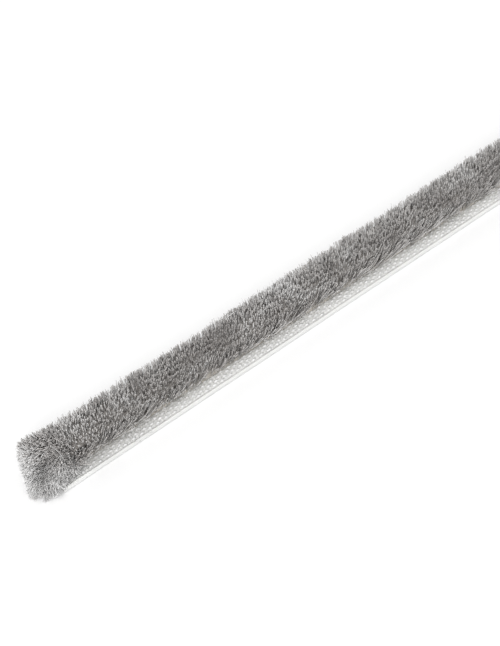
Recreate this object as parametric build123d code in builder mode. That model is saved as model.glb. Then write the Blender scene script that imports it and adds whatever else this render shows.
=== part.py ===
"""Woven pile brush seal strip.

A pale woven tape lies flat, and a dense grey fibre pile stands along its middle.
The strip lies along X, the pile points up along Z, and the origin is at the
middle of the tape's underside. All sizes are in millimetres.
"""

import os

from build123d import *

# The length that the strip is cut to
strip_length = 1000.0

# Backing tape
tape_width = 6.9  # over the two selvedges, for a 7 mm slot
tape_thickness = 0.9  # from the underside to the top of the warp threads
margin_threads = 4  # warp threads that lie bare on each side of the pile
thread_rise = 0.09  # how far a warp thread rounds up between its neighbours
selvedge_bulge = 0.16  # how far the rounded edge stands out from its own corners

# Pile
strip_height = 6.5  # from the tape's underside to the pile's crest
root_width = 3.2  # where the fibres leave the weave
shoulder_width = 5.4  # where the splayed fibres are widest
crest_dome = 0.7  # from the crest's middle down to its shoulders
shoulder_radius = 0.6  # of the rounding between the crest and the flanks
end_fan = 2.6  # how far the bulk of the fibres leans out past a cut end
end_drop = 2.2  # how far the crest has fallen at the tips of the fan
end_taper = 6.0  # the length of strip over which the crest falls
corner_radius = 1.8  # of the fanned end, seen from above

# Heights and half widths that follow from these
valley_height = tape_thickness - thread_rise
half_length = strip_length / 2
half_root = root_width / 2
half_shoulder = shoulder_width / 2
shoulder_height = strip_height - crest_dome
fan_height = strip_height - end_drop
fan_reach = half_length + end_fan
thread_foot = tape_width / 2 - selvedge_bulge
thread_pitch = (thread_foot - half_root) / margin_threads


# Backing tape: one section, drawn from the middle out to one selvedge and
# mirrored. The bare warp threads of the margin are low arches, side by side,
# and the fibres' seat between the margins is flat
with BuildPart() as backing_tape:
    with BuildSketch(Plane.YZ):
        with BuildLine():
            Line((0, 0), (0, tape_thickness))
            Line((0, tape_thickness), (half_root, tape_thickness))
            Line((half_root, tape_thickness), (half_root, valley_height))
            for thread in range(margin_threads):
                inner_foot = half_root + thread * thread_pitch
                ThreePointArc(
                    (inner_foot, valley_height),
                    (inner_foot + thread_pitch / 2, tape_thickness),
                    (inner_foot + thread_pitch, valley_height),
                )
            ThreePointArc(
                (thread_foot, valley_height),
                (tape_width / 2, valley_height / 2),
                (thread_foot, 0),
            )
            Line((thread_foot, 0), (0, 0))
        make_face()
        mirror(about=Plane.YZ)
    extrude(amount=half_length, both=True)


# Half the outline of the bush of fibres, from its middle out. The fibres leave the
# weave upright, splay out, stand upright again at the shoulder, and are shorn to
# a crest that is level as far as crest_end and then falls away to the shoulder
def draw_half_bush(foot, shoulder, shoulder_top, crest_end):
    flank_top = shoulder_top - shoulder_radius
    Line((0, strip_height), (0, tape_thickness))
    Line((0, tape_thickness), (foot, tape_thickness))
    Spline((foot, tape_thickness), (shoulder, flank_top), tangents=((0, 1), (0, 1)))
    Line((shoulder, flank_top), (shoulder, shoulder_top))
    TangentArc((crest_end, strip_height), (shoulder, shoulder_top), tangent=(1, 0))
    if crest_end > 0:
        Line((crest_end, strip_height), (0, strip_height))


# The shoulder's corner on each side: the upper of the outermost points
def shoulder_corners(outline):
    by_reach = outline.vertices().group_by(Axis.X)
    return [side.sort_by(Axis.Y)[-1] for side in (by_reach[0], by_reach[-1])]


# Pile: the bush across the strip, run past both ends of the tape
with BuildPart() as pile:
    with BuildSketch(Plane.YZ) as bush_section:
        with BuildLine():
            draw_half_bush(half_root, half_shoulder, shoulder_height, crest_end=0)
        make_face()
        mirror(about=Plane.YZ)
        fillet(shoulder_corners(bush_section), radius=shoulder_radius)
    extrude(amount=fan_reach, both=True)

    # Along the strip, both cut ends fan out over the tape's end, and the crest
    # falls towards them
    with BuildSketch(Plane.XZ) as bush_side:
        with BuildLine():
            draw_half_bush(half_length, fan_reach, fan_height, crest_end=half_length - end_taper)
        make_face()
        mirror(about=Plane.YZ)
        fillet(shoulder_corners(bush_side), radius=shoulder_radius)
    extrude(amount=half_shoulder, both=True, mode=Mode.INTERSECT)

    # Seen from above, the fan's corners are round
    with BuildSketch(Plane.XY.offset(tape_thickness)):
        RectangleRounded(2 * fan_reach, shoulder_width, corner_radius)
    extrude(amount=strip_height - tape_thickness, mode=Mode.INTERSECT)


backing_tape.part.label = "backing_tape"
pile.part.label = "pile"

os.makedirs("parts", exist_ok=True)
export_step(backing_tape.part, "parts/backing_tape.step")
export_step(pile.part, "parts/pile.step")
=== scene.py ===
# %% [markdown]
# A woven pile brush seal strip.
# The real thing is a narrow tape of milky polypropylene threads with a dense brush of grey
# polypropylene fibres woven into its middle. It seals the gap beside a sliding door or window.
# This lesson builds the visible strip around a fixed frame: a plain tape and a plain bush,
# both at their real size. Everything here is worked out in millimetres and written in metres.

# %% Load the frame
import math

import bpy
import numpy as np
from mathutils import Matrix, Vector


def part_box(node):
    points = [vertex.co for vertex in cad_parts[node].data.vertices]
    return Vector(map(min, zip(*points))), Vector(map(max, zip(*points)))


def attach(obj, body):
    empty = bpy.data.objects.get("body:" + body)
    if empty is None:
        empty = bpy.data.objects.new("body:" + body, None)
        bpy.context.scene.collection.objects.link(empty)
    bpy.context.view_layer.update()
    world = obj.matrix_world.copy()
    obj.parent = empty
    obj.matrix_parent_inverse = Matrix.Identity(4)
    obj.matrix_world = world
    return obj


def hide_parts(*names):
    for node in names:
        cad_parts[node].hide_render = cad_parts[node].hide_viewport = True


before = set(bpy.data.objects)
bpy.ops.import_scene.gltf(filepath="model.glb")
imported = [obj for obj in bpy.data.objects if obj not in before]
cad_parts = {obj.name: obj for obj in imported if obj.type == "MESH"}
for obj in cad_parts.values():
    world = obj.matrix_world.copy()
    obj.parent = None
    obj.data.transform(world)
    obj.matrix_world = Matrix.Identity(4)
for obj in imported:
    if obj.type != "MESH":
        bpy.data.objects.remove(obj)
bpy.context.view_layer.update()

MM = 0.001

# %% [markdown]
# The frame gives the sizes. The tape's box tells its width and length, and the bush's box
# tells where the pile starts and how high and how wide it stands. The sizes of the weave can't
# be read from a box: how much of the tape lies bare, how wide the cord along its edge and the
# groove beside that are, and how far apart the threads lie.

# %% Sizes from the frame
tape_high = np.array(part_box("backing_tape")[1]) / MM
bush_low, bush_high = [np.array(corner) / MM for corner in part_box("pile")]

strip_half_length = tape_high[0]
tape_half_width = tape_high[1]
tape_top = bush_low[2]
crest_height = bush_high[2]
shoulder_half_width = bush_high[1]

bare_margin = 1.85  # from the tape's edge to the foot of the pile
root_half_width = tape_half_width - bare_margin
selvedge_width = 0.37  # the thick cord along each edge
groove_width = 0.12  # between that cord and the first warp thread
warp_pitch = 0.4225
pick_pitch = 0.684
print("warp pitch", round(warp_pitch, 3), "mm, pick pitch", pick_pitch, "mm")

# %% [markdown]
# The camera comes before the looks, so that each piece can be compared with the picture from
# the start. A focal length given in pixels is easy to measure from a picture, and the lens
# follows from the sensor: the sensor's width lies along the picture's longer side.

# %% Camera
picture_width, picture_height = 500, 646
focal_pixels = 1682.0
sensor_width = 36.0
view_heading = math.radians(40.2)
view_elevation = math.radians(50.1)
view_distance = 229.0
aim_from_cut_end, aim_across, aim_height = 34.7, 1.06, 3.0
aim = np.array([-strip_half_length + aim_from_cut_end, aim_across, aim_height])

look = np.array([
    math.sin(view_heading) * math.cos(view_elevation),
    math.cos(view_heading) * math.cos(view_elevation),
    -math.sin(view_elevation),
])
camera_data = bpy.data.cameras.new("camera")
camera_data.sensor_width = sensor_width
camera_data.lens = focal_pixels * sensor_width / max(picture_width, picture_height)
camera_data.clip_start = 0.01
camera_data.clip_end = 50.0
camera = bpy.data.objects.new("camera", camera_data)
camera.location = (aim - look * view_distance) * MM
camera.rotation_euler = (math.pi / 2 - view_elevation, 0.0, -view_heading)
bpy.context.scene.collection.objects.link(camera)
bpy.context.scene.camera = camera
print("lens", round(camera_data.lens, 1), "mm at", [round(v, 4) for v in camera.location])

# %% [markdown]
# Colours are easiest to name as sRGB hex values, as a paint program shows them. Blender's
# shaders want linear light, so one function turns the one into the other.

# %% Colour and node helpers
def linear(hex_colour):
    """An sRGB hex colour as linear red, green, blue and alpha."""
    channels = [int(hex_colour[i:i + 2], 16) / 255 for i in (1, 3, 5)]
    return [c / 12.92 if c <= 0.04045 else ((c + 0.055) / 1.055) ** 2.4 for c in channels] + [1.0]


def add_node(tree, kind, inputs=None, stops=(), **settings):
    """Adds a node, sets its properties, and fills or links its inputs.

    stops are the (position, hex colour) pairs of a colour ramp.
    """
    node = tree.nodes.new(kind)
    for name, value in settings.items():
        setattr(node, name, value)
    for name, value in (inputs or {}).items():
        if isinstance(value, bpy.types.NodeSocket):
            tree.links.new(value, node.inputs[name])
        else:
            node.inputs[name].default_value = value
    if stops:
        elements = node.color_ramp.elements
        while len(elements) < len(stops):
            elements.new(0.5)
        for element, (position, hex_colour) in zip(elements, stops):
            element.position, element.color = position, linear(hex_colour)
    return node


def empty_material(name):
    """A material without any nodes yet, and the tree that they go into."""
    material = bpy.data.materials.new(name)
    material.use_nodes = True
    material.node_tree.nodes.clear()
    return material, material.node_tree


# %% [markdown]
# The stage is a white floor under a white sky. A white sky alone gives the soft, nearly
# shadowless light of a light tent. One large softbox on the camera's side adds a little
# direction: it brightens the bare margin and the flank of the pile beside it. It stands three
# metres off, so that the whole strip gets nearly the same light. The floor looks pure white
# to the camera, and still darkens where the strip keeps the light off it. Far away it would
# turn grey, so there it glows by itself and melts into the sky.

# %% Floor, sky and softbox
floor_lift, far_lift = 0.03, 0.6  # the floor's own light beside the strip, and far away
lift_start, lift_end = 0.2, 4.0  # metres from the cut end, between which it grows
floor_reach = 6.0
sky_strength = 0.68
softbox_watts = 66.0
softbox_size = 2.2
softbox_place = np.array([-1.95, -0.78, 2.2])


def white_floor():
    """A matt white floor. Only the camera and reflections see the little light of its own."""
    material, tree = empty_material("matt white paper")
    ray = add_node(tree, "ShaderNodeLightPath")
    seen = add_node(tree, "ShaderNodeMath", {0: ray.outputs["Is Camera Ray"],
                                             1: ray.outputs["Is Glossy Ray"]}, operation="MAXIMUM")
    place = add_node(tree, "ShaderNodeTexCoord")
    away = add_node(tree, "ShaderNodeVectorMath",
                    {0: place.outputs["Object"], 1: (-strip_half_length * MM, 0.0, 0.0)},
                    operation="DISTANCE")
    own = add_node(tree, "ShaderNodeMapRange",
                   {"Value": away.outputs["Value"], "From Min": lift_start, "From Max": lift_end,
                    "To Min": floor_lift, "To Max": far_lift})
    lift = add_node(tree, "ShaderNodeMath", {0: seen.outputs[0], 1: own.outputs[0]}, operation="MULTIPLY")
    paper = add_node(tree, "ShaderNodeBsdfDiffuse", {"Color": linear("#ededed")})
    glow = add_node(tree, "ShaderNodeEmission", {"Color": linear("#ffffff"), "Strength": lift.outputs[0]})
    both = add_node(tree, "ShaderNodeAddShader", {0: paper.outputs[0], 1: glow.outputs[0]})
    add_node(tree, "ShaderNodeOutputMaterial", {"Surface": both.outputs[0]})
    return material


floor_mesh = bpy.data.meshes.new("floor")
floor_mesh.from_pydata(
    [(-floor_reach, -floor_reach, 0), (floor_reach, -floor_reach, 0),
     (floor_reach, floor_reach, 0), (-floor_reach, floor_reach, 0)], [], [(0, 1, 2, 3)])
floor_mesh.materials.append(white_floor())
floor = bpy.data.objects.new("floor", floor_mesh)
bpy.context.scene.collection.objects.link(floor)

world = bpy.data.worlds.new("white tent")
world.use_nodes = True
world.node_tree.nodes.clear()
sky_ray = add_node(world.node_tree, "ShaderNodeLightPath")
sky_seen = add_node(world.node_tree, "ShaderNodeMath",
                    {0: sky_ray.outputs["Is Camera Ray"], 1: 1 - sky_strength, 2: sky_strength},
                    operation="MULTIPLY_ADD")
sky = add_node(world.node_tree, "ShaderNodeBackground",
               {"Color": linear("#ffffff"), "Strength": sky_seen.outputs[0]})
add_node(world.node_tree, "ShaderNodeOutputWorld", {"Surface": sky.outputs[0]})
bpy.context.scene.world = world

softbox_data = bpy.data.lights.new("softbox", "AREA")
softbox_data.shape = "SQUARE"
softbox_data.size = softbox_size
softbox_data.energy = softbox_watts
softbox = bpy.data.objects.new("softbox", softbox_data)
softbox.location = softbox_place
down = math.acos(softbox_place[2] / np.linalg.norm(softbox_place))
softbox.rotation_euler = (down, 0.0, math.atan2(-softbox_place[1], -softbox_place[0]) - math.pi / 2)
bpy.context.scene.collection.objects.link(softbox)

bpy.context.scene.view_settings.view_transform = "Standard"
print("stage: floor, sky at", sky_strength, "and one softbox of", softbox_watts, "W")

# %% [markdown]
# The fibres are polypropylene, spun with a grey pigment in them and shorn to one height. Each
# batch of yarn comes out a little lighter or darker. Near its root a fibre is painted paler, as
# painted light from the white tape shining through it, and fibres that stand apart from the
# others get paler tones, which is painted light too. Every strand carries a map for this: across
# the map runs the strand's tone, its own together with that painted light, and up it runs the
# way from root to tip. The material only has to read the map, so it needs no picture.
# The tape's threads are the same plastic, left undyed and woven. They look white and smooth,
# and shine a little. Where one thread dips under another it is painted a touch greyer, which is
# painted shade in the dips.

# %% Materials of the pile fibres and the tape's threads
fibre_map = "OFBake"  # the map from which the yarn materials read their colours
tone_step = 1 / 48  # each strand takes a strip of the map this wide, which has nearly one tone
streaks_across, streaks_along = 4, 5.0
streak_gloss = 0.12  # the streaks change the roughness by this much, up and down
polypropylene_ior = 1.49  # its roughness is about 0.4 as smooth yarn, and more where it is cut


def mapped_yarn(name, own, sunk, painted_foot_up_to, roughness, streak_depth, glow_depth):
    """Yarn coloured by its map: own is a ramp over the strand's tone, sunk a colour painted at its
    foot, which is painted light on the pile and painted shade on the tape.

    Fine streaks along the strand roughen it. They read the map too, stretched so that they
    are many across a strand and few along it. Light enters the milky plastic and comes out
    again about glow_depth mm away, which softens the shading from strand to strand.
    """
    material, tree = empty_material(name)
    place = add_node(tree, "ShaderNodeUVMap", uv_map=fibre_map)
    parts = add_node(tree, "ShaderNodeSeparateXYZ", {"Vector": place.outputs["UV"]})
    # how much of the painted foot colour each place takes: painted light on the pile, painted shade on the
    # tape
    share = add_node(tree, "ShaderNodeMapRange", {"Value": parts.outputs["Y"], "From Max": painted_foot_up_to,
                                                  "To Min": 1.0, "To Max": 0.0})
    tones = add_node(tree, "ShaderNodeValToRGB", {"Fac": parts.outputs["X"]}, stops=own)
    colour = add_node(tree, "ShaderNodeMix",
                      {0: share.outputs[0], 6: tones.outputs["Color"], 7: linear(sunk)}, data_type="RGBA")
    stretch = add_node(tree, "ShaderNodeMapping", {"Vector": place.outputs["UV"],
                                                   "Scale": (streaks_across / tone_step, streaks_along, 1.0)})
    streaks = add_node(tree, "ShaderNodeTexNoise", {"Vector": stretch.outputs[0], "Scale": 1.0})
    gloss = add_node(tree, "ShaderNodeMapRange",
                     {"Value": streaks.outputs[0], "To Min": roughness - streak_gloss,
                      "To Max": roughness + streak_gloss})
    bump = add_node(tree, "ShaderNodeBump",
                    {"Height": streaks.outputs[0], "Distance": streak_depth * MM, "Strength": 0.5})
    shader = add_node(tree, "ShaderNodeBsdfPrincipled",
                      {"Base Color": colour.outputs[2], "Roughness": gloss.outputs[0],
                       "IOR": polypropylene_ior, "Normal": bump.outputs[0],
                       "Subsurface Weight": 1.0, "Subsurface Scale": glow_depth * MM,
                       "Subsurface Radius": (1.0, 1.0, 1.0)})
    add_node(tree, "ShaderNodeOutputMaterial", {"Surface": shader.outputs[0]})
    return material


# its pale foot colour is painted light from the white tape under the pile
pile_yarn = mapped_yarn("polypropylene fibre, spun grey and shorn",
                        own=[(0.0, "#746f6c"), (0.5, "#a5a19e"), (1.0, "#efeeed")],
                        sunk="#efeae2", painted_foot_up_to=0.4, roughness=0.6, streak_depth=0.004,
                        glow_depth=1.0)
# its greyer sunk colour is painted shade where threads dip under others, and the edge cords take it too
tape_yarn = mapped_yarn("polypropylene yarn, undyed and woven",
                        own=[(0.0, "#f6f6f4"), (1.0, "#fdfdfc")],
                        sunk="#dadad8", painted_foot_up_to=0.8, roughness=0.38, streak_depth=0.01,
                        glow_depth=0.05)
print("materials:", pile_yarn.name, "and", tape_yarn.name)

# %% [markdown]
# More than a hundred thousand fibres are far too many to place as objects. Numpy works out all
# of them at once: a strand is a few points from root to tip, and each point but the first gets
# a ring of three corners round it. Three are enough at this size, because the shading is
# smooth. The strand is pointed at its root, which the others hide, and blunt at its cut tip.

# %% From strands to a mesh
ring_corners = 3
turn_step = 2.399  # the golden angle in radians, which spreads values evenly without repeating
turn_spread = 0.4  # strands differ this much in the way they face, in radians
nearly_along = 0.8  # the share of a strand's way that lies along x, from which another axis is used
cap_dip = 0.02  # a strand's cut end reads the map from this far below its tip


def strand_faces(spines, radii, tones, heights):
    """Corners, triangles and quads of strands, with the map places of their faces.

    spines is (strands, points, 3) from root to tip, radii is (strands, points - 1), tones is
    (strands,), and heights is (strands, points), the share of the way from root to tip.
    """
    strands, points = spines.shape[:2]
    run = spines[:, -1] - spines[:, 0]
    run /= np.linalg.norm(run, axis=1, keepdims=True)
    aside = np.cross(run, np.where(np.abs(run[:, :1]) < nearly_along, [[1.0, 0, 0]], [[0, 1.0, 0]]))
    aside /= np.linalg.norm(aside, axis=1, keepdims=True)
    beyond = np.cross(run, aside)
    turn = ((turn_spread * np.sin(np.arange(strands) * turn_step))[:, None]
            + np.arange(ring_corners) * 2 * np.pi / ring_corners)
    spokes = np.cos(turn)[..., None] * aside[:, None] + np.sin(turn)[..., None] * beyond[:, None]
    rings = spines[:, 1:, None] + radii[:, :, None, None] * spokes[:, None]
    corners = np.concatenate([spines[:, :1], rings.reshape(strands, -1, 3)], 1).reshape(-1, 3)

    root = (np.arange(strands) * (1 + (points - 1) * ring_corners))[:, None]
    here = np.arange(ring_corners)
    after = (here + 1) % ring_corners
    left = tones * (1 - tone_step)
    right, middle = left + tone_step, left + tone_step / 2

    low = root + 1
    foot = np.stack([np.broadcast_to(root, (strands, ring_corners)), low + after, low + here], -1)
    foot_map = np.stack([np.stack([middle, right, left], 1), heights[:, [0, 1, 1]]], -1)
    top = root + 1 + (points - 2) * ring_corners
    cap = (top + here)[:, None]
    cap_map = np.stack([np.stack([left, right, middle], 1),
                        heights[:, -1:] - np.array([cap_dip, cap_dip, 0.0])], -1)
    triangles = np.concatenate([foot, cap], 1).reshape(-1, 3)
    triangle_map = np.concatenate([np.repeat(foot_map[:, None], ring_corners, 1), cap_map[:, None]], 1)

    quads, quad_map = [np.empty((strands, 0, 4), int)], [np.empty((strands, 0, 4, 2))]
    for ring in range(points - 2):
        low = root + 1 + ring * ring_corners
        high = low + ring_corners
        quads.append(np.stack([low + here, low + after, high + after, high + here], -1))
        below, above = heights[:, ring + 1], heights[:, ring + 2]
        place = np.stack([np.stack([left, right, right, left], 1),
                          np.stack([below, below, above, above], 1)], -1)
        quad_map.append(np.repeat(place[:, None], ring_corners, 1))
    return (corners, triangles, triangle_map.reshape(-1, 2),
            np.concatenate(quads, 1).reshape(-1, 4), np.concatenate(quad_map, 1).reshape(-1, 2))


def add_piece(name, mesh, material):
    """Puts a mesh into the scene as a piece that rides on the strip's one body."""
    mesh.materials.append(material)
    piece = bpy.data.objects.new(name, mesh)
    bpy.context.scene.collection.objects.link(piece)
    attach(piece, "root")
    return piece


def strand_piece(name, batches, material):
    """One piece from batches of (corners, triangles, their map, quads, their map)."""
    offsets = np.cumsum([0] + [len(batch[0]) for batch in batches])
    corners = np.concatenate([batch[0] for batch in batches])
    triangles = np.concatenate([batch[1] + start for batch, start in zip(batches, offsets)])
    quads = np.concatenate([batch[3] + start for batch, start in zip(batches, offsets)])
    places = np.concatenate([batch[2] for batch in batches] + [batch[4] for batch in batches])
    loops = np.concatenate([triangles.ravel(), quads.ravel()]).astype(np.int32)
    starts = np.concatenate([np.arange(len(triangles)) * 3, triangles.size + np.arange(len(quads)) * 4])

    mesh = bpy.data.meshes.new(name)
    mesh.vertices.add(len(corners))
    mesh.vertices.foreach_set("co", (corners * MM).astype(np.float32).ravel())
    mesh.loops.add(len(loops))
    mesh.loops.foreach_set("vertex_index", loops)
    mesh.polygons.add(len(starts))
    mesh.polygons.foreach_set("loop_start", starts.astype(np.int32))
    mesh.update(calc_edges=True)
    mesh.polygons.foreach_set("use_smooth", np.ones(len(starts), bool))
    mesh.uv_layers.new(name=fibre_map).data.foreach_set("uv", places.astype(np.float32).ravel())
    print(name, "has", len(triangles) + 2 * len(quads), "triangles")
    return add_piece(name, mesh, material)


# %% [markdown]
# Real pile is never even. Neighbouring fibres lean together in small clumps, and whole
# stretches lean one way or the other. Two helpers give that: a smooth random field, for slow
# changes, and a pull towards the middle of a clump, for the pointed tufts and the dark gaps
# between them. Both are seeded, so each run gives the same strip.

# %% Uneven pile
field_edge = 12.0  # the random fields reach this far past the strip's middle line and its ends
flank_offset = 6  # the flanks read them this far to their own side, so that they differ
clump_edge = 0.15  # a clump's middle stays this share of its size away from its border
thinnest, thickest = 0.75, 1.25  # the fibres' radii, as shares of the usual one


def eased(share):
    """A share from 0 to 1 that leaves 0 and reaches 1 gently."""
    return share * share * (3 - 2 * share)


def field_place(x, y, cell):
    """The cell that each point of the strip lies in, and the place inside it from 0 to 1."""
    u, v = (x + strip_half_length + field_edge) / cell, (y + field_edge) / cell
    i, j = np.floor(u).astype(int), np.floor(v).astype(int)
    return i, j, u - i, v - j


def field_size(cell):
    """How many cells cover the strip and its surroundings, along x and across it."""
    return int(2 * (strip_half_length + field_edge) / cell) + 3, int(2 * field_edge / cell) + 3


def soft_noise(seed, x, y, cell):
    """Smooth random values from -1 to 1, which change over about one cell of x and y."""
    grid = np.random.default_rng(seed).uniform(-1, 1, field_size(cell))
    i, j, a, b = field_place(x, y, cell)
    a, b = eased(a), eased(b)
    return ((grid[i, j] * (1 - a) + grid[i + 1, j] * a) * (1 - b)
            + (grid[i, j + 1] * (1 - a) + grid[i + 1, j + 1] * a) * b)


def clump_pull(seed, x, y, cell):
    """The way from each point to the middle of its own clump, along x and y."""
    middles = np.random.default_rng(seed).uniform(clump_edge, 1 - clump_edge, field_size(cell) + (2,))
    i, j, a, b = field_place(x, y, cell)
    return (middles[i, j, 0] - a) * cell, (middles[i, j, 1] - b) * cell


def yarn_tones(rng, count, mean, spread):
    """Each strand's own tone, from 0, dark, to 1, pale."""
    return np.clip(mean + spread * rng.normal(size=count), 0, 1)


# %% [markdown]
# In the middle of the strip the fibres prop each other up. Towards a cut end they lean over
# it, and the outer ones lean over the margins too. Each fibre turns about its own root, and
# the further from the end, the less it leans.

# %% How fibres lean towards a cut end
fan_start = 2.6  # this far from a cut end the upright pile stops and the fan begins
# The angle of a fall at the cut end, the length of strip over which it fades, and the least and
# the most that one fibre takes of it
end_fall, end_fall_reach, end_fall_shares = math.radians(80), 2.2, (0.3, 1.1)
side_fall, side_fall_reach, side_fall_shares = math.radians(50), 4.2, (0.1, 1.1)
drift, drift_reach, drift_shares = math.radians(9), 2.6, (-0.5, 2.5)
far_side_share = 0.35  # the strip was handled, and its far side fell less than the near one
stray_turn = math.radians(22)
root_bend, tip_bend = 0.85, 1.03  # a fibre leans a little more at its tip than at its root
floor_gap = 0.1
fibre_length = crest_height - tape_top


def lean_out(rng, root, spines):
    """Turns fibres outward about their roots, the more the nearer they are to a cut end."""
    count = len(root)
    to_end = strip_half_length - np.abs(root[:, 0])
    outermost = np.clip(np.abs(root[:, 1]) / root_half_width, 0, 1)
    endways = end_fall * np.exp(-to_end / end_fall_reach) * rng.uniform(*end_fall_shares, count)
    sideways = (side_fall * np.exp(-to_end / side_fall_reach) * outermost ** 1.5
                * rng.uniform(*side_fall_shares, count) * np.where(root[:, 1] > 0, far_side_share, -1.0))
    sideways -= drift * np.exp(-to_end / drift_reach) * rng.uniform(*drift_shares, count)
    heading = np.arctan2(sideways, np.sign(root[:, 0]) * endways) + stray_turn * rng.normal(size=count)
    axis = np.stack([-np.sin(heading), np.cos(heading), np.zeros(count)], 1)[:, None]
    arm = spines - root[:, None]
    bend = (np.hypot(endways, sideways)[:, None, None]
            * np.linspace(root_bend, tip_bend, spines.shape[1])[:, None])
    along = (axis * arm).sum(-1, keepdims=True)
    leant = (root[:, None] + arm * np.cos(bend) + np.cross(axis, arm) * np.sin(bend)
             + axis * along * (1 - np.cos(bend)))
    leant[..., 2] = np.maximum(leant[..., 2], floor_gap)
    return leant


# %% [markdown]
# The crest is where the shear cut the fibres off. They are packed so tightly that only their
# upper parts show, so each is drawn as one slim wedge. Half the wedges are blunt at the top
# and pointed deep in the pile, as a tuft that was cut straight. The others are turned upside
# down: their points show, and their thick feet close the gaps between the blunt ones.

# %% Crest fibres
crest_count = 105_000
crest_wedge = 1.8  # each wedge reaches this far down from the crest
crest_dome = 0.7  # the crest is this much lower at its shoulders
crest_radius = 0.088
crest_inset = 0.1
shoulder_thinning = 0.45  # single fibres show against the light there, so they are drawn thinner
blunt_share = 0.5  # the others point up
crest_unevenness = 0.07  # mm that a fibre is off its even place, about a third of their spacing
crest_clump = 0.85
tip_pull, foot_pull = 0.42, 0.10  # shares of the way to the clump's middle
patch_lean_x, patch_lean_y = 0.55, 0.30  # mm that the tips of a whole patch lean together
fibre_lean_x, fibre_lean_y = 0.26, 0.16  # mm that each tip leans by itself
foot_lean_x, foot_lean_y = 0.45, 0.4  # the feet lean by these shares of that
foot_gather = 0.84  # and stand this much closer to the middle of the strip
crest_lift = 0.1  # the tips stand this much above the plain bush
crest_waves, crest_swell = 0.16, 0.12  # whole patches stand out or lie low by this, small and large
cut_height_error = 0.07  # and each tip by this
crest_tone, small_patch_tone, patch_tone = 0.33, 0.2, 0.36


def crest_fibres():
    """The upper parts of the packed fibres: spines, radii, tones and heights."""
    rng = np.random.default_rng(11)
    reach = strip_half_length - fan_start
    x = np.linspace(-reach, reach, crest_count) + crest_unevenness * rng.normal(size=crest_count)
    across = 2 * (np.arange(crest_count) * turn_step / (2 * np.pi) % 1) - 1
    across = np.clip(across + crest_unevenness / shoulder_half_width * rng.normal(size=crest_count), -1, 1)
    y = across * (shoulder_half_width - crest_inset)
    pull_x, pull_y = clump_pull(12, x, y, crest_clump)
    lean_x = patch_lean_x * soft_noise(13, x, y, 2.6) + fibre_lean_x * rng.normal(size=crest_count)
    lean_y = patch_lean_y * soft_noise(14, x, y, 2.2) + fibre_lean_y * rng.normal(size=crest_count)
    top = (crest_height - crest_dome * across ** 2 + crest_lift + crest_waves * soft_noise(15, x, y, 1.9)
           + crest_swell * soft_noise(17, x, y, 5.0) + cut_height_error * rng.normal(size=crest_count))
    tip = np.stack([x + tip_pull * pull_x + lean_x, y + tip_pull * pull_y + lean_y, top], 1)
    foot = np.stack([x + foot_pull * pull_x + foot_lean_x * lean_x,
                     foot_gather * y + foot_pull * pull_y + foot_lean_y * lean_y,
                     top - crest_wedge], 1)
    root = np.stack([x, across * root_half_width, np.full(crest_count, tape_top)], 1)
    spines = lean_out(rng, root, np.stack([foot, tip], 1))
    radii = crest_radius * rng.uniform(thinnest, thickest, (crest_count, 1))
    radii *= 1 - shoulder_thinning * across[:, None] ** 6
    tones = (yarn_tones(rng, crest_count, crest_tone, 0.03) + small_patch_tone * soft_noise(16, x, y, 1.4)
             + patch_tone * soft_noise(18, x, y, 3.0))
    heights = np.tile([0.25, 1.0], (crest_count, 1))
    pointed = rng.uniform(size=crest_count) > blunt_share
    spines[pointed], heights[pointed] = spines[pointed, ::-1], heights[pointed, ::-1]
    return spines, radii, np.clip(tones, 0, 1), heights


# %% [markdown]
# The fibres of the outer rows show from root to tip, so they are drawn whole, with one bend:
# they leave the weave upright and then splay. The lower a fibre lies, the further it splays and
# the shorter it is, because the shear never reached it squarely.

# %% Flank fibres
flank_count = 20_000
flank_radius = 0.07
flank_depth = 0.35  # the outer rows reach this far in from the foot of the pile
flank_clump = 1.1
least_splay, low_splay = 0.8, 1.15  # how far out a fibre splays, and how much more a low one does
low_shortening = 0.26  # the lowest are shorter by this share
bend_out, bend_up = 0.16, 0.26  # a fibre's bend, as shares of its lean and its height
# flank tones: darker up high, which is painted shade on the flank, and paler low down, which is painted light
# from the white tape
shaded_flank_tone, low_painted_light = 0.14, 0.4


def flank_fibres():
    """The fibres of the two outer rows, from the tape up to the shoulders."""
    rng = np.random.default_rng(21)
    reach = strip_half_length - fan_start
    x = np.sort(rng.uniform(-reach, reach, flank_count))
    side = np.where(rng.uniform(size=flank_count) < 0.5, -1.0, 1.0)
    y = side * (root_half_width - rng.uniform(0, flank_depth, flank_count))
    field_y = flank_offset * side
    root = np.stack([x, y, np.full(flank_count, tape_top)], 1)
    low = rng.beta(1.2, 1.9, flank_count)
    pull_x = clump_pull(22, x, field_y, flank_clump)[0]
    lean = np.stack([0.65 * soft_noise(23, x, field_y, 2.6) + 0.3 * rng.normal(size=flank_count)
                     + 0.5 * pull_x,
                     side * (least_splay + low_splay * low + 0.3 * soft_noise(24, x, field_y, 1.6))], 1)
    length = (fibre_length - 0.15) * (1 - low_shortening * low) * rng.uniform(0.94, 1.03, flank_count)
    rise = np.sqrt(length ** 2 - (lean ** 2).sum(1).clip(0, 9))
    middle = root + np.column_stack([bend_out * lean, bend_up * rise])
    spines = np.stack([root, middle, root + np.column_stack([lean, rise])], 1)
    radii = flank_radius * rng.uniform(thinnest, thickest, (flank_count, 1)) * np.ones(2)
    heights = np.broadcast_to([0.0, bend_up, 1.0], (flank_count, 3))
    # painted shade darkens the high flank fibres and painted light makes the low ones paler
    tones = (yarn_tones(rng, flank_count, shaded_flank_tone + low_painted_light * low, 0.06)
             + 0.16 * soft_noise(25, x, field_y, 2.0))
    return lean_out(rng, root, spines), radii, np.clip(tones, 0, 1), heights


# %% [markdown]
# Single fibres stand off the flanks. Low ones lie over the bare margins, so that the pile has
# no sharp lower edge, and high ones stick out of the shoulders and soften the outline there.
# They are thin and short, and straight is good enough for them.

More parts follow.
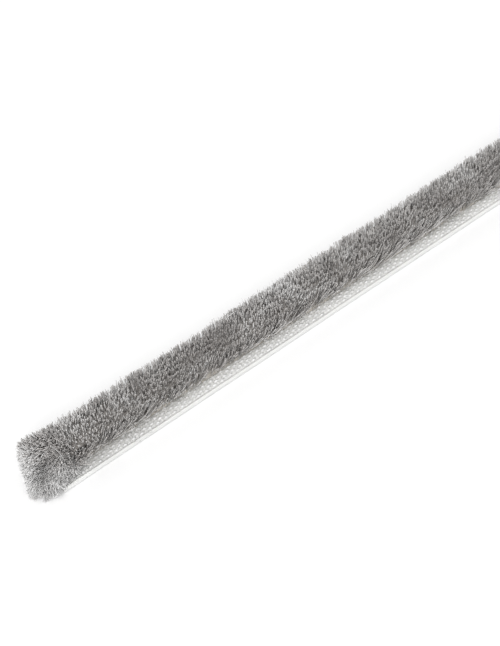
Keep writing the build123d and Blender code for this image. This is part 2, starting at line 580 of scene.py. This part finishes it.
# %% Loose wisps
wisp_count = 24_000
wisp_radius = 0.045
shoulder_share = 0.3  # this share of them is high
shoulder_stop = 5.0  # and those stop this far from the cut ends
highest_low = 2.4  # the low ones start up to this far above the tape
lowest_high, highest_high = 3.2, 4.6  # and the high ones between these heights
end_width, end_width_reach = 0.8, 5.0  # low ones reach out further by this share at a cut end
flank_slope = 0.26  # how far out the flank goes for each millimetre up
wisp_gap = 0.12  # no tip comes nearer to the tape than this


def wisp_fibres():
    """Thin straight fibres that stick out of the flanks and the shoulders."""
    rng = np.random.default_rng(31)
    reach = strip_half_length - 0.5 * fan_start
    x = np.sort(rng.uniform(-reach, reach, wisp_count))
    side = np.where(rng.uniform(size=wisp_count) < 0.5, -1.0, 1.0)
    high = (rng.uniform(size=wisp_count) < shoulder_share) & (np.abs(x) < strip_half_length - shoulder_stop)
    up = np.where(high, rng.uniform(lowest_high, highest_high, wisp_count),
                  highest_low * rng.uniform(size=wisp_count) ** 1.6)
    patch = 0.75 + 0.45 * soft_noise(32, x, flank_offset * side, 3.4)
    wider = 1.0 + end_width * np.exp(-(strip_half_length - np.abs(x)) / end_width_reach)
    out = patch * np.where(high, rng.uniform(0.0, 0.5, wisp_count),
                           0.2 + 1.3 * wider * rng.beta(1.1, 3.4, wisp_count))
    rise = np.where(high, rng.uniform(0.1, 0.5, wisp_count),
                    rng.uniform(-0.25, 1.2, wisp_count) * (1.2 - 0.25 * up))
    foot = np.stack([x, side * (root_half_width - 0.15 + flank_slope * up), tape_top + up], 1)
    tip = foot + np.stack([(0.7 - 0.4 * high) * rng.normal(size=wisp_count), side * out, rise], 1)
    tip[:, 2] = np.maximum(tip[:, 2], tape_top + wisp_gap)
    root = np.stack([x, side * root_half_width, np.full(wisp_count, tape_top)], 1)
    spines = lean_out(rng, root, np.stack([foot, tip], 1))
    radii = wisp_radius * rng.uniform(0.8, 1.2, (wisp_count, 1))
    heights = np.broadcast_to([0.1, 0.9], (wisp_count, 2))
    # standing apart from the pile, the wisps are painted pale, which is painted light
    return spines, radii, yarn_tones(rng, wisp_count, 0.75, 0.15), heights


# %% [markdown]
# The fan at each cut end is a tangle. Nothing holds its fibres from in front, so they spread
# over the end of the tape, and the lowest ones lie on the floor. Together they still keep a
# blunt outside. Some are drawn whole, and between them lie many short wedges, which are the
# ends of all those whose roots are hidden. More light reaches a fibre the further out it is,
# so it is painted paler there, and so are the low ones at the fan's near foot: painted light.

# %% Fibres of the fans
fan_count, fan_wedge_count = 1_700, 5_000  # at each cut end
fan_radius, fan_wedge_radius = 0.05, 0.08
fan_innermost, wedge_innermost = 0.7, 0.74  # tips lie this far out at least, 1 on the fan's outside
wedge_lengths = (1.6, 2.8)
top_fall, more_fall, near_fall = 28, 30, 30  # degrees off upright on top, further out, and near
fan_middle = 1.5  # the middle of the fan's outside shape lies this far inside the cut end
fan_reach = np.array([4.25, 3.15, crest_height - tape_top + 0.1])  # endways, across and up
fan_back = 0.3  # and behind its middle it reaches back by this share of that
fan_spread = 0.45  # how much wider each side is in front of the cut end
near_side_spread = 0.75  # the near side fell over more, so it is wider still
low_reach = 0.42  # and its low fibres reach further ahead, by this share
fan_squareness, near_squareness = 8.0, 2.0
tip_droop, droop_start, droop_length = 0.8, 1.6, 1.5  # the tips furthest out hang down this much
tape_gap = 0.06  # the lowest fibres lie this far above the tape


def near_and_low(away):
    """How far to the near side and how low points lie in the fan, both from 0 to 1."""
    return (np.clip(0.55 - away[..., 1] / fan_reach[1], 0, 1),
            np.clip(1 - away[..., 2] / fan_reach[2], 0, 1))


def fan_share(away):
    """How far out points lie in the fan, 1 on its outside. away is counted from its middle."""
    ahead = np.clip(2 * away[..., 0] / fan_reach[0], 0, 1)
    near, low = near_and_low(away)
    reach = np.stack([fan_reach[0] * (1 + low_reach * near * low),
                      fan_reach[1] + (fan_spread + near_side_spread * near) * ahead,
                      np.full(ahead.shape, fan_reach[2])], -1)
    squareness = (fan_squareness + (near_squareness - fan_squareness) * near)[..., None]
    return (np.abs(away / reach) ** squareness).sum(-1, keepdims=True) ** (1 / squareness)


def fan_places(rng, count, innermost):
    """Roots and tips of fan fibres as seen from a fan's middle, and how far ahead each reaches."""
    tip = rng.uniform([-fan_back, -1.0, 0.0], [1.0, 1.0, 1.0], (count, 3)) * fan_reach
    tip[:, 2] -= (tip_droop * np.clip((tip[:, 0] - droop_start) / droop_length, 0, 1)
                  * rng.uniform(size=count))
    tip *= rng.uniform(innermost, 1.0, (count, 1)) / fan_share(tip)
    ahead = np.clip(tip[:, 0] / fan_reach[0], 0, 1)
    out = np.clip(ahead + 0.25 * rng.normal(size=count), 0, 1)
    across = np.clip(0.4 * tip[:, 1] + 0.5 * rng.normal(size=count), -root_half_width, root_half_width)
    root = np.stack([fan_middle - fan_start * (1 - out), across, np.zeros(count)], 1)
    return root, tip, ahead


def place_fans(spines):
    """Turns places counted from a fan's middle into places at both ends of the strip."""
    spines = spines / np.maximum(fan_share(spines), 1)
    lowest = np.where(spines[..., 0] > fan_middle, floor_gap, tape_top + tape_gap)
    end = np.repeat([-1, 1], len(spines) // 2)[:, None]
    return np.stack([(spines[..., 0] + strip_half_length - fan_middle) * end, spines[..., 1],
                     np.maximum(spines[..., 2] + tape_top, lowest)], -1)


def patch_ways(place):
    """A random way for each place, alike for its neighbours, so that fibres lie in locks."""
    return np.stack([soft_noise(43 + k, place[:, 0] + 0.7 * place[:, 2], place[:, 1] + 5 * (k - 1), 1.5)
                     for k in range(3)], 1)


def near_foot_painted_light(tip):
    """How much painted light makes a fibre paler at the near foot of the fan, from 0 to 1."""
    near, low = near_and_low(tip)
    return np.clip(2.2 * near * low - 0.2, 0, 1)


def fountain_tones(tip):
    """Tone changes that follow the falling fibres: quick round the fan and slow down it."""
    round_it = np.arctan2(tip[:, 1], tip[:, 0] + 0.8)
    return soft_noise(46, 3.5 * round_it, 0.16 * (tip[:, 2] - tip[:, 0]), 0.22)


def fan_fibres():
    """Whole fibres round both cut ends, from the tape out to the fan's outside."""
    rng = np.random.default_rng(41)
    count = 2 * fan_count
    root, tip, ahead = fan_places(rng, count, fan_innermost)
    heights = np.broadcast_to([0.0, 0.4, 0.75, 1.0], (count, 4))
    spines = root[:, None] + (tip - root)[:, None] * heights[..., None]
    arch = (0.5 + 1.2 * ahead * near_and_low(tip)[1]) * rng.uniform(size=count)
    spines[:, 1:3, 2] += arch[:, None]
    spines[:, 2] += 0.15 * rng.normal(size=(count, 3))
    spines[:, 3] += 0.35 * rng.normal(size=(count, 3)) + 0.5 * patch_ways(tip)
    radii = fan_radius * rng.uniform(thinnest, thickest, (count, 1)) * np.ones(3)
    # further out and at the near foot the fibres are painted paler, which is painted light
    tones = yarn_tones(rng, count, 0.45 + 0.45 * np.maximum(ahead ** 2, near_foot_painted_light(tip)), 0.12)
    return place_fans(spines), radii, tones, heights


def fan_wedges():
    """The outer ends of many more fan fibres, which fall over like water from a fountain."""
    rng = np.random.default_rng(42)
    count = 2 * fan_wedge_count
    root, tip, ahead = fan_places(rng, count, wedge_innermost)
    near, low = near_and_low(tip)
    fall = np.radians(top_fall + (more_fall + near_fall * near) * (ahead + low))
    out = (tip - root)[:, :2] / np.linalg.norm((tip - root)[:, :2], axis=1, keepdims=True)
    inward = -np.column_stack([np.sin(fall)[:, None] * out, np.cos(fall)])
    foot = tip + rng.uniform(*wedge_lengths, (count, 1)) * (inward - 0.3 * patch_ways(tip))
    foot += 0.06 * rng.normal(size=(count, 3))
    radii = fan_wedge_radius * rng.uniform(thinnest, thickest, (count, 1))
    # pale is painted light, more further out and at the near foot
    pale = np.maximum(ahead ** 2, near_foot_painted_light(tip))
    tones = yarn_tones(rng, count, 0.3 + 0.45 * pale + 0.2 * fountain_tones(tip), 0.03)
    return place_fans(np.stack([foot, tip], 1)), radii, tones, np.tile([0.3, 1.0], (count, 1))


# %% [markdown]
# A few long fibres were missed by the shear. They lie on top of the pile, pale and curved, and
# the eye finds them at once. Those near the visible cut end are placed one by one, with the
# place they start from, the way they head, their length and how far they curl. The others
# are spread at random along the rest of the strip.

# %% Stray fibres
stray_radius = 0.05
stray_points = 8
stray_count = 60
stray_limit = 3.9  # none reaches further to either side
stray_arch = 0.25  # between their two ends they rise by this much
stray_lift = 0.4  # the fibres below hold them up this far
side_drop_start, side_drop_length = 0.3, 1.4  # where the pile falls away inside its shoulder
end_drop_start, end_drop_length = 0.5, 4.5  # and before the cut end, and how far that goes on
placed_strays = [  # from the cut end, across, heading in degrees, length, curl in degrees
    (9.3, -2.0, -37, 3.0, 44),
    (9.6, -1.9, -24, 4.2, 24),
    (0.7, 0.4, 152, 2.6, 12),
    (0.5, 0.3, -80, 3.6, 14),
    (2.2, -2.9, 172, 3.0, 26),
    (2.0, -3.0, 184, 1.5, 10),
    (4.5, -0.7, 70, 0.7, 30),
    (7.3, -1.5, 120, 0.7, -40),
]


def lying_height(x, y):
    """How high a fibre lies that rests on the pile, or past its edges, at x and y."""
    to_end = strip_half_length - np.abs(x)
    past_side = np.clip((np.abs(y) - shoulder_half_width + side_drop_start) / side_drop_length, 0, 1)
    past_end = np.clip((end_drop_start - to_end) / end_drop_length, 0, 1)
    crest = crest_height - crest_dome * np.minimum(y / shoulder_half_width, 1) ** 2
    return tape_top + stray_lift + (crest - tape_top) * (1 - eased(past_side)) * (1 - past_end)


def stray_fibres():
    """Long curved fibres that lie on the pile, those listed one by one and then the others."""
    rng = np.random.default_rng(61)
    others = np.stack([rng.uniform(14, 2 * strip_half_length - 4, stray_count),
                       rng.uniform(-2.4, 2.4, stray_count), rng.uniform(0, 360, stray_count),
                       rng.uniform(1.0, 3.0, stray_count), 35 * rng.normal(size=stray_count)], 1)
    start_x, start_y, heading, length, curl = np.concatenate([placed_strays, others]).T
    way = np.linspace(0, 1, stray_points)
    turned = np.radians(heading[:, None] + curl[:, None] * (way - 0.5))
    step = length[:, None] / (stray_points - 1)
    x = start_x[:, None] - strip_half_length + np.cumsum(np.cos(turned) * step, 1)
    y = np.clip(start_y[:, None] + np.cumsum(np.sin(turned) * step, 1), -stray_limit, stray_limit)
    arch = stray_arch * np.sin(np.pi * way)
    spines = np.stack([x, y, lying_height(x, y) + arch], 2)
    radii = np.full((len(length), stray_points - 1), stray_radius)
    heights = np.tile(np.linspace(0.5, 1.0, stray_points), (len(length), 1))
    return spines, radii, np.clip(yarn_tones(rng, len(length), 1.1, 0.1), 0, 1), heights


# %% [markdown]
# All the strands in one mesh would be too heavy to handle, so the pile is made in five lengths.
# Each strand goes whole into the length in which it starts, so no strand is cut where two
# lengths meet, and the joins don't show.

# %% The pile, in five lengths
pile_lengths = 5
families = [crest_fibres(), flank_fibres(), wisp_fibres(), fan_fibres(), fan_wedges(), stray_fibres()]
for part in range(pile_lengths):
    batches = []
    for spines, radii, tones, heights in families:
        share = (spines[:, 0, 0] + strip_half_length) / (2 * strip_half_length) * pile_lengths
        chosen = np.clip(np.floor(share), 0, pile_lengths - 1) == part
        if chosen.any():
            batches.append(strand_faces(spines[chosen], radii[chosen], tones[chosen], heights[chosen]))
    pile_length = strand_piece(f"pile_fibres_{part + 1}", batches, pile_yarn)
    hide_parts("pile")

# %% [markdown]
# Behind the fibres drawn one by one there are far more, packed too tightly to see. One plain
# heart stands for them. It keeps light from shining through the pile, and it is darker,
# because hardly any light gets that far in.

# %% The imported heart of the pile
heart_tips, heart_ends = 0.8, 3.4  # from the cut ends to its own ends, and to its full section
heart_tip_size = 0.5  # the height of its section there, as a share of the full one
heart_depth, heart_dome = 1.45, 0.45  # how far down its shoulders lie, and its rise to the middle
root_inset, shoulder_inset = 0.2, 0.5  # how far it lies inside the flanks, below and above
root_glow = 2.2  # light from the tape reaches this far up
heart_streak = 0.16  # mm across one streak, as wide as a fibre


def packed_fibre():
    """The same fibre, packed: painted shade makes it dark inside, painted light from the tape makes
    it paler at its roots, and it is streaked along the fibres.
    """
    material, tree = empty_material("polypropylene fibre, spun grey and packed")
    place = add_node(tree, "ShaderNodeTexCoord")
    fine = 1 / (heart_streak * MM)
    stretch = add_node(tree, "ShaderNodeMapping", {"Vector": place.outputs["Object"],
                                                   "Scale": (fine, fine, 0.12 * fine)})
    streaks = add_node(tree, "ShaderNodeTexNoise",
                       {"Vector": stretch.outputs[0], "Scale": 1.0, "Detail": 2.0})
    parts = add_node(tree, "ShaderNodeSeparateXYZ", {"Vector": place.outputs["Object"]})
    near_root = add_node(tree, "ShaderNodeMapRange",
                         {"Value": parts.outputs["Z"], "From Min": tape_top * MM,
                          "From Max": (tape_top + root_glow) * MM, "To Min": 1.0, "To Max": 0.0})
    # the inside ramp is painted shade and the lit_root ramp is painted light from the tape
    inside = add_node(tree, "ShaderNodeValToRGB", {"Fac": streaks.outputs[0]},
                      stops=[(0.3, "#66615d"), (0.7, "#a29e9a")])
    lit_root = add_node(tree, "ShaderNodeValToRGB", {"Fac": streaks.outputs[0]},
                        stops=[(0.3, "#a8a197"), (0.7, "#f0eae0")])
    colour = add_node(tree, "ShaderNodeMix",
                      {0: near_root.outputs[0], 6: inside.outputs["Color"], 7: lit_root.outputs["Color"]},
                      data_type="RGBA")
    bump = add_node(tree, "ShaderNodeBump", {"Height": streaks.outputs[0], "Distance": heart_streak * MM,
                                             "Strength": 0.8})
    gloss = add_node(tree, "ShaderNodeMapRange", {"Value": streaks.outputs[0], "To Min": 0.6, "To Max": 0.85})
    shader = add_node(tree, "ShaderNodeBsdfPrincipled",
                      {"Base Color": colour.outputs[2], "Roughness": gloss.outputs[0],
                       "IOR": polypropylene_ior, "Normal": bump.outputs[0]})
    add_node(tree, "ShaderNodeOutputMaterial", {"Surface": shader.outputs[0]})
    return material


def lofted_piece(name, sections, material):
    """A closed piece through sections across the strip, all with the same number of corners."""
    n = len(sections[0])
    faces = [(s * n + i, (s + 1) * n + i, (s + 1) * n + (i + 1) % n, s * n + (i + 1) % n)
             for s in range(len(sections) - 1) for i in range(n)]
    last = (len(sections) - 1) * n
    faces += [tuple(range(n)), tuple(reversed(range(last, last + n)))]
    mesh = bpy.data.meshes.new(name)
    mesh.from_pydata([tuple(v * MM for v in corner) for section in sections for corner in section],
                     [], faces)
    print(name, "has", len(faces), "faces")
    return add_piece(name, mesh, material)


def heart_sections():
    """Sections of the bush, set in from its outside, from end to end."""
    heights = np.linspace(0, 1, 7)
    half = (root_half_width - root_inset
            + (shoulder_half_width - root_half_width - shoulder_inset) * heights ** 1.6)
    top = tape_top + (crest_height - heart_depth - tape_top) * heights
    outline = [(-y, z) for y, z in zip(half, top)] + [(0.0, top[-1] + heart_dome)]
    outline += [(y, z) for y, z in zip(half[::-1], top[::-1])]
    stations = [(-strip_half_length + heart_tips, heart_tip_size), (-strip_half_length + heart_ends, 1.0),
                (strip_half_length - heart_ends, 1.0), (strip_half_length - heart_tips, heart_tip_size)]
    return [[(x, y * (0.7 + 0.3 * size), tape_top + (z - tape_top) * size) for y, z in outline]
            for x, size in stations]


heart = lofted_piece("pile_heart", heart_sections(), packed_fibre())
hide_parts("pile")

# %% [markdown]
# The tape is a plain weave: each warp thread, along the strip, passes over one weft thread
# and under the next, and its neighbour does the opposite. Where a warp lies on top it stands
# out of the cloth as a small bright pad, and the pads make a lattice. What lies deeper never
# shows, so each pad is drawn as a low closed dome: a top, a rim of six corners and a bottom.
# The warps are counted inward from the groove, and the last goes under the foot of the pile.

# %% Warp pads
weave_depth = 0.14  # from the top of the tape down to the middle of its threads
weave_level = tape_top - weave_depth
body_level = weave_level + 0.025  # the top of the cloth's body, in which their lower parts lie
pad_half_length, pad_half_width = 0.42, 0.22
pad_rise, pad_root = 0.16, 0.10
rim_corners, rim_sink = 6, 0.02
pad_shift = 0.03  # no pad lies quite in its row
smallest_pad, largest_pad = 0.92, 1.08
# the lower a place lies on the map, the more of the tape yarn's painted shade it takes
top_lift, rim_lift, bottom_lift = 1.0, 0.8, 0.3  # how far out of the weave it looks, by its map
margin_warps = 4
picks = int(2 * strip_half_length / pick_pitch)
pick_x = (np.arange(picks) - (picks - 1) / 2) * pick_pitch
warp_y = (tape_half_width - selvedge_width - groove_width
          - (np.arange(margin_warps) + 0.5) * warp_pitch)


def warp_pads(rng):
    """All pads of both bare margins at once, as mesh data."""
    side, warp, pick = [part.ravel() for part in np.meshgrid([-1, 1], range(margin_warps),
                                                             range(picks), indexing="ij")]
    on_top = (pick + warp) % 2 == 0
    side, warp, pick = side[on_top], warp[on_top], pick[on_top]
    count = len(pick)
    middle = np.stack([pick_x[pick], side * warp_y[warp], np.full(count, body_level)], 1)
    middle[:, :2] += pad_shift * rng.normal(size=(count, 2))
    turn = np.arange(rim_corners) * 2 * np.pi / rim_corners
    rim = np.stack([pad_half_length * np.cos(turn), pad_half_width * np.sin(turn), 0 * turn - rim_sink], 1)
    shape = np.concatenate([[[0.0, 0.0, pad_rise]], rim, [[0.0, 0.0, -pad_root]]])
    corners = middle[:, None] + shape * rng.uniform(smallest_pad, largest_pad, (count, 1, 1))
    here = np.arange(rim_corners)
    after = (here + 1) % rim_corners
    upper = np.stack([0 * here, 1 + here, 1 + after], 1)
    lower = np.stack([0 * here + rim_corners + 1, 1 + after, 1 + here], 1)
    triangles = np.arange(count)[:, None, None] * len(shape) + np.concatenate([upper, lower])
    left = rng.uniform(0.3, 1.0, count) * (1 - tone_step)
    across = left[:, None, None] + tone_step * np.array([0.5, 0.0, 1.0])
    lift = np.array([[top_lift, rim_lift, rim_lift]] * rim_corners
                    + [[bottom_lift, rim_lift, rim_lift]] * rim_corners)
    places = np.stack(np.broadcast_arrays(across, lift), -1)
    return (corners.reshape(-1, 3), triangles.reshape(-1, 3), places.reshape(-1, 2),
            np.empty((0, 4), int), np.empty((0, 2)))


strand_piece("warp_pads", [warp_pads(np.random.default_rng(51))], tape_yarn)

# %% [markdown]
# A weft thread crosses the tape once for each pick. It rises where it passes over a sunk warp
# and goes under where a warp is on top. It is a long three-cornered ribbon. One function
# makes such ribbons along any line, here for the wefts and later for the thick edge cords.

# %% Weft threads
low_arch = np.array([(-1.0, -0.4), (1.0, -0.4), (0.0, 1.0)])
weft_rise, weft_swing = 0.07, 0.03  # its own height, and how far it moves up and down
weft_half_width = 0.42 * pick_pitch
weft_overrun = 0.6 * warp_pitch  # it runs on this far past the first and the last warp


def ribbon_faces(spine, across, section, lift, tone):
    """A thread along spine as mesh data. lift is its place in the weave, 0 sunk and 1 on top,
    and it sets how much painted shade the tape yarn gives it.

    section is (corners, 2), how far each corner lies across and above the spine.
    """
    points, corners = len(spine), len(section)
    rings = spine[:, None] + section[:, :1] * across + section[:, 1:] * np.array([0.0, 0.0, 1.0])
    here = np.arange(corners)
    after = (here + 1) % corners
    low = np.arange(points - 1)[:, None] * corners
    high = low + corners
    quads = np.stack([low + here, low + after, high + after, high + here], -1).reshape(-1, 4)
    left = tone * (1 - tone_step)
    right = left + tone_step
    below, above = np.repeat(lift[:-1], corners), np.repeat(lift[1:], corners)
    quad_map = np.stack([np.broadcast_to([left, right, right, left], (len(quads), 4)),
                         np.stack([below, below, above, above], 1)], -1)
    cap = np.stack([np.zeros(corners - 2, int), here[1:-1], here[2:]], 1)
    caps = np.concatenate([cap[:, ::-1], (points - 1) * corners + cap])
    cap_map = np.tile([[left, 0.4], [right, 0.4], [left + tone_step / 2, 0.6]], (len(caps), 1))
    return rings.reshape(-1, 3), caps, cap_map, quads, quad_map.reshape(-1, 2)


def weft_thread(rng, side, pick):
    """One weft thread's stretch over one bare margin, from the groove to under the pile."""
    sunk = (pick + np.arange(margin_warps)) % 2 == 0
    lift = np.concatenate([[0.0], np.where(sunk, 0.0, 1.0), [0.0]])
    y = side * np.concatenate([[warp_y[0] + weft_overrun], warp_y, [warp_y[-1] - weft_overrun]])
    z = weave_level - 0.01 + weft_swing * (2 * lift - 1)
    spine = np.stack([np.full(len(y), pick_x[pick]), y, z], 1)
    # it reads the map low, from 0.1 to 0.4, so it takes the tape yarn's painted shade, most where it goes
    # under
    return ribbon_faces(spine, np.array([side * 1.0, 0.0, 0.0]), low_arch * (weft_half_width, weft_rise),
                        0.1 + 0.3 * lift, rng.uniform(0.0, 0.6))


rng = np.random.default_rng(52)
weft_threads = [weft_thread(rng, side, pick) for side in (-1, 1) for pick in range(picks)]
strand_piece("weft_threads", weft_threads, tape_yarn)

# %% [markdown]
# At each edge the wefts turn back round one thick cord. It makes the edge smooth and round,
# and a narrow groove lies between it and the first warp. The cord is almost as high as the
# tape, and it wavers a little, because each weft pulls on it.

# %% Selvedge cords
cord_corners = 10
cord_step = 8.0
cord_waver = 0.04  # it lies up to this far inside the tape's edge
cord_clearance = 0.03  # and is this much thinner than the tape


def selvedge_cord(rng, side):
    """One cord from end to end: an oval section, with its outermost side at the tape's edge."""
    turn = np.arange(cord_corners) * 2 * np.pi / cord_corners
    oval = 0.5 * np.stack([selvedge_width * np.cos(turn), (tape_top - cord_clearance) * np.sin(turn)], 1)
    x = np.linspace(-strip_half_length, strip_half_length, int(2 * strip_half_length / cord_step))
    y = side * (tape_half_width - 0.5 * selvedge_width - rng.uniform(0, cord_waver, len(x)))
    spine = np.stack([x, y, np.full(len(x), 0.5 * tape_top)], 1)
    # at 0.3 on the map the cord takes much of the tape yarn's painted shade grey
    return ribbon_faces(spine, np.array([0.0, 1.0, 0.0]), oval, np.full(len(x), 0.3), 0.5)


rng = np.random.default_rng(53)
strand_piece("selvedge_cords", [selvedge_cord(rng, side) for side in (-1, 1)], tape_yarn)

# %% [markdown]
# Under the threads lies the body of the cloth, where warps and wefts are packed. It is one
# closed length, and it steps down under the grooves beside the two cords. Undyed yarn in a
# tight plain weave looks white, and its low ribs break the plastic's shine into a soft satin.
# The body is painted a little greyer than the threads on it, as painted shade below them.

# %% The body of the tape
groove_depth = 0.22
groove_slope = 0.06  # the groove's wall leans outward this much
underside = 0.04  # the cords carry the cloth this far above the floor
cut_unevenness = 0.06  # the shears leave the cords this much longer than the cloth between them


def woven_cloth():
    """Undyed woven cloth: low crossing ribs, one pick and one warp apart."""
    material, tree = empty_material("polypropylene cloth, undyed and plain woven")
    place = add_node(tree, "ShaderNodeTexCoord")
    wave_length = 2 * math.pi / 20  # of a wave texture at scale 1
    ribs = [add_node(tree, "ShaderNodeTexWave",
                     {"Vector": place.outputs["Object"], "Scale": wave_length / (pitch * MM)},
                     bands_direction=axis) for axis, pitch in (("X", pick_pitch), ("Y", warp_pitch))]
    weave = add_node(tree, "ShaderNodeMath", {0: ribs[0].outputs["Fac"], 1: ribs[1].outputs["Fac"]},
                     operation="MULTIPLY")
    fray = add_node(tree, "ShaderNodeTexNoise", {"Vector": place.outputs["Object"], "Scale": 1 / (1.5 * MM),
                                                 "Detail": 4.0})
    bump = add_node(tree, "ShaderNodeBump", {"Height": weave.outputs[0], "Distance": 0.06 * MM,
                                             "Strength": 0.7})
    gloss = add_node(tree, "ShaderNodeMapRange", {"Value": fray.outputs[0], "To Min": 0.32, "To Max": 0.5})
    # a little greyer than the threads: painted shade below them, with random tone from the fray noise
    colour = add_node(tree, "ShaderNodeValToRGB", {"Fac": fray.outputs[0]},
                      stops=[(0.3, "#e0e0df"), (0.7, "#ededeb")])
    shader = add_node(tree, "ShaderNodeBsdfPrincipled",
                      {"Base Color": colour.outputs["Color"], "Roughness": gloss.outputs[0],
                       "IOR": polypropylene_ior, "Normal": bump.outputs[0]})
    add_node(tree, "ShaderNodeOutputMaterial", {"Surface": shader.outputs[0]})
    return material


def tape_body_sections():
    """The section from cord to cord, at one cut end of the strip and at the other."""
    cord_y = tape_half_width - selvedge_width / 2
    groove_y = tape_half_width - selvedge_width - groove_width
    half = [(groove_y, body_level), (groove_y + groove_slope, body_level - groove_depth),
            (cord_y, body_level - groove_depth), (cord_y, underside)]
    outline = [(-y, z) for y, z in half[::-1]] + half
    reach = strip_half_length - cut_unevenness
    return [[(x, y, z) for y, z in outline] for x in (-reach, reach)]


tape_body = lofted_piece("tape_body", tape_body_sections(), woven_cloth())
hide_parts("backing_tape")
